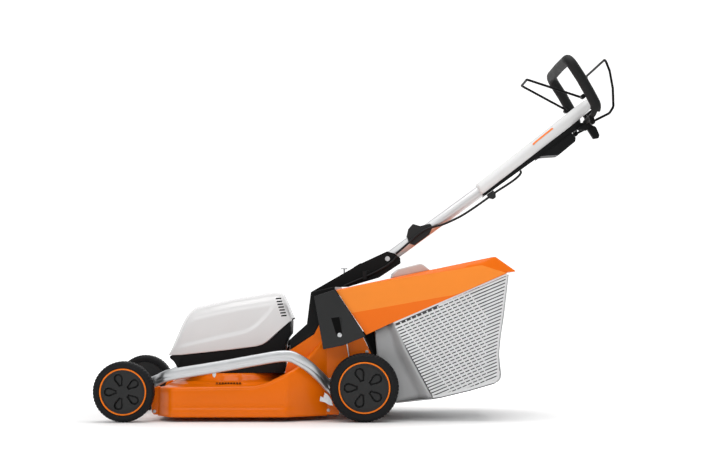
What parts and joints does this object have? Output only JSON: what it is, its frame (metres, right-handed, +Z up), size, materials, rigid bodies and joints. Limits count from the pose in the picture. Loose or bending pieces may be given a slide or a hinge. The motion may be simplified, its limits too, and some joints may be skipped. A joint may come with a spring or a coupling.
{
  "type": "push lawn mower",
  "caption": "Walk-behind battery mower: pressed deck, lifting wheel carriage, hinged motor cover, rear catcher that pulls off, and a folding handle column with a grip ring and bails.",
  "frame": {"origin": "Middle of the footprint, on the ground.", "axes": "X runs back from the front of the mower, Y to its right, Z up."},
  "size_m": [1.5482, 0.5, 1.0899],
  "materials": {
    "deck_paint": "powder coat, semi-gloss orange",
    "bracket_steel": "zinc plated",
    "screw_steel": "bright zinc",
    "black_plastic": "moulded, fine grain",
    "motor_dark": "dark enamel",
    "battery_case": "moulded grey-black",
    "tray_plastic": "moulded",
    "dark_plastic": "moulded dark grey",
    "seal_rubber": "extruded seal",
    "cable_rubber": "cable jacket",
    "blade_steel": "black paint with a bare cutting edge",
    "bolt_steel": "oiled steel",
    "white_plastic": "moulded, glossy",
    "basket_plastic": "moulded grey",
    "lid_plastic": "moulded, semi-gloss orange",
    "grip_plastic": "moulded light grey",
    "gearbox_plastic": "glass-filled nylon",
    "rail_metal": "silver, satin",
    "column_metal": "silver, satin",
    "cover_plastic": "moulded light grey",
    "grip_rubber": "foam-like soft grip",
    "bail_paint": "black coated wire",
    "button_plastic": "moulded",
    "tyre_rubber": "moulded tread",
    "hub_plastic": "moulded, satin",
    "ring_plastic": "moulded"
  },
  "bodies": {
    "deck": {"deck_shell": "deck_paint", "deck_brackets": "bracket_steel", "deck_screws": "screw_steel", "motor_base": "black_plastic", "drive_motor": "motor_dark", "battery_left": "battery_case", "battery_right": "battery_case", "battery_tray": "tray_plastic", "rear_console": "black_plastic", "cheek_left": "dark_plastic", "cheek_right": "dark_plastic", "cheek_screws": "screw_steel", "handle_fork": "black_plastic", "fold_bolt": "screw_steel", "latch_hook": "screw_steel", "flap_rod": "bracket_steel", "chute_seal": "seal_rubber", "drive_rod": "bracket_steel", "motor_cable": "cable_rubber", "cable_lower": "cable_rubber"},
    "flap": {"discharge_flap": "black_plastic"},
    "cutter": {"blade": "blade_steel", "blade_bolt": "bolt_steel", "motor_shaft": "bracket_steel"},
    "cover": {"motor_cover": "white_plastic"},
    "catcher": {"catcher_basket": "basket_plastic", "catcher_lid": "lid_plastic", "catcher_grip": "grip_plastic"},
    "front_link": {"front_link": "bracket_steel"},
    "rear_links": {"rear_links": "bracket_steel"},
    "carriage": {"front_axle": "bracket_steel", "rear_axle": "bracket_steel", "gearbox": "gearbox_plastic", "rail_left": "rail_metal", "rail_right": "rail_metal"},
    "wheel_fl": {"tyre_fl": "tyre_rubber", "hub_fl": "hub_plastic", "ring_fl": "ring_plastic"},
    "wheel_fr": {"tyre_fr": "tyre_rubber", "hub_fr": "hub_plastic", "ring_fr": "ring_plastic"},
    "wheel_rl": {"tyre_rl": "tyre_rubber", "hub_rl": "hub_plastic", "ring_rl": "ring_plastic"},
    "wheel_rr": {"tyre_rr": "tyre_rubber", "hub_rr": "hub_plastic", "ring_rr": "ring_plastic"},
    "handle": {"handle_tube": "column_metal", "handle_cover": "cover_plastic", "handle_underside": "black_plastic", "switch_box": "black_plastic", "cable_saddle": "dark_plastic", "cable_clip": "dark_plastic", "cable_upper": "cable_rubber", "grip_ring": "grip_rubber"},
    "stop_bail": {"stop_bail": "bail_paint"},
    "drive_bail": {"drive_bail": "bail_paint"},
    "speed_lever": {"speed_lever": "black_plastic"},
    "start_button": {"start_button": "button_plastic"}
  },
  "joints": [
    {"name": "front_lift", "type": "hinge", "parent": "deck", "child": "front_link", "pos_m": [-0.62972, 0, 0.065], "axis": [0, -1, 0], "range_deg": [0, 44.5]},
    {"name": "carriage_level", "type": "hinge", "parent": "front_link", "child": "carriage", "pos_m": [-0.68426, 0, 0.09], "axis": [0, -1, 0], "range_deg": [-44.6, 0]},
    {"name": "rear_lift", "type": "hinge", "parent": "deck", "child": "rear_links", "pos_m": [0.01528, 0, 0.125], "axis": [0, -1, 0], "range_deg": [0, 44.6]},
    {"name": "wheel_fl_spin", "type": "hinge", "parent": "carriage", "child": "wheel_fl", "pos_m": [-0.68426, -0.225, 0.09], "axis": [0, 1, 0], "continuous": true},
    {"name": "wheel_fr_spin", "type": "hinge", "parent": "carriage", "child": "wheel_fr", "pos_m": [-0.68426, 0.225, 0.09], "axis": [0, 1, 0], "continuous": true},
    {"name": "wheel_rl_spin", "type": "hinge", "parent": "carriage", "child": "wheel_rl", "pos_m": [0.02474, -0.225, 0.102], "axis": [0, 1, 0], "continuous": true},
    {"name": "wheel_rr_spin", "type": "hinge", "parent": "carriage", "child": "wheel_rr", "pos_m": [0.02474, 0.225, 0.102], "axis": [0, 1, 0], "continuous": true},
    {"name": "blade_spin", "type": "hinge", "parent": "deck", "child": "cutter", "pos_m": [-0.37426, 0, 0.032], "axis": [0, 0, 1], "continuous": true},
    {"name": "cover_hinge", "type": "hinge", "parent": "deck", "child": "cover", "pos_m": [-0.56026, 0, 0.186], "axis": [0, -1, 0], "range_deg": [0, 75]},
    {"name": "flap_hinge", "type": "hinge", "parent": "deck", "child": "flap", "pos_m": [-0.04626, 0, 0.3945], "axis": [0, -1, 0], "range_deg": [0, 25]},
    {"name": "catcher_pull", "type": "slide", "parent": "deck", "child": "catcher", "axis": [1, 0, 0], "range_m": [0, 0.35]},
    {"name": "handle_fold", "type": "hinge", "parent": "deck", "child": "handle", "pos_m": [0.09904, 0, 0.4872], "axis": [0, 1, 0], "range_deg": [-138, 0]},
    {"name": "stop_bail_squeeze", "type": "hinge", "parent": "handle", "child": "stop_bail", "pos_m": [0.68138, 0, 0.97002], "axis": [0, 1, 0], "range_deg": [0, 28], "stiffness_Nm_per_rad": 0.6, "springref_deg": -28.65},
    {"name": "drive_bail_squeeze", "type": "hinge", "parent": "handle", "child": "drive_bail", "pos_m": [0.71118, 0, 0.89521], "axis": [0, -1, 0], "range_deg": [0, 28], "stiffness_Nm_per_rad": 0.8, "springref_deg": -45.84},
    {"name": "speed_turn", "type": "hinge", "parent": "handle", "child": "speed_lever", "pos_m": [0.71574, -0.046, 0.89235], "axis": [0, 1, 0], "range_deg": [-20, 20]},
    {"name": "start_press", "type": "slide", "parent": "handle", "child": "start_button", "axis": [-0.808, 0, -0.5892], "range_m": [0, 0.003], "stiffness_N_per_m": 400, "springref_m": -0.002}
  ],
  "couplings": [
    {"joint": "carriage_level", "follows": "front_lift", "ratio": -1},
    {"joint": "rear_lift", "follows": "front_lift", "ratio": 1}
  ]
}
